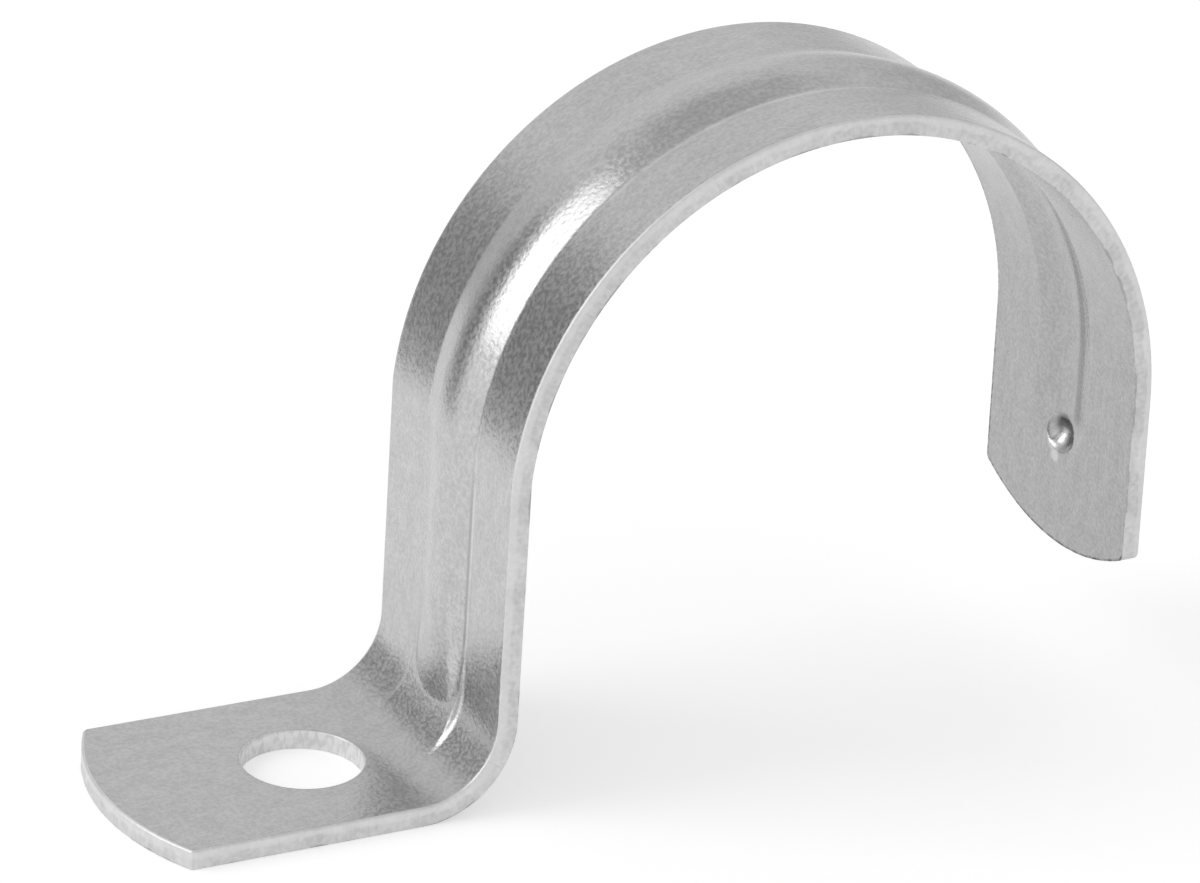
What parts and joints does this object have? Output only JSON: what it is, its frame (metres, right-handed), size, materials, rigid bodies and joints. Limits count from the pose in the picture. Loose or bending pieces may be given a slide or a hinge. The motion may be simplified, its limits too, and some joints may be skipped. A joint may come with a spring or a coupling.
{
  "type": "conduit strap",
  "caption": "Zinc-plated sheet-steel conduit strap: flat screw foot, foot bend and straight leg, ribbed round arch that clamps the conduit, short free leg.",
  "frame": {"origin": "centre of the screw hole on the foot's underside, which is the mounting surface", "axes": "+Z leaves the mounting surface, +X runs from the screw hole towards the conduit, Y is the conduit's direction"},
  "size_m": [0.071, 0.0176, 0.045],
  "materials": {
    "zinc_plated_steel": "bright zinc plating over cold-rolled sheet, satin with a fine mottled grain; sheared edges a little brighter"
  },
  "bodies": {
    "root": {"strap": "zinc_plated_steel"}
  },
  "joints": []
}
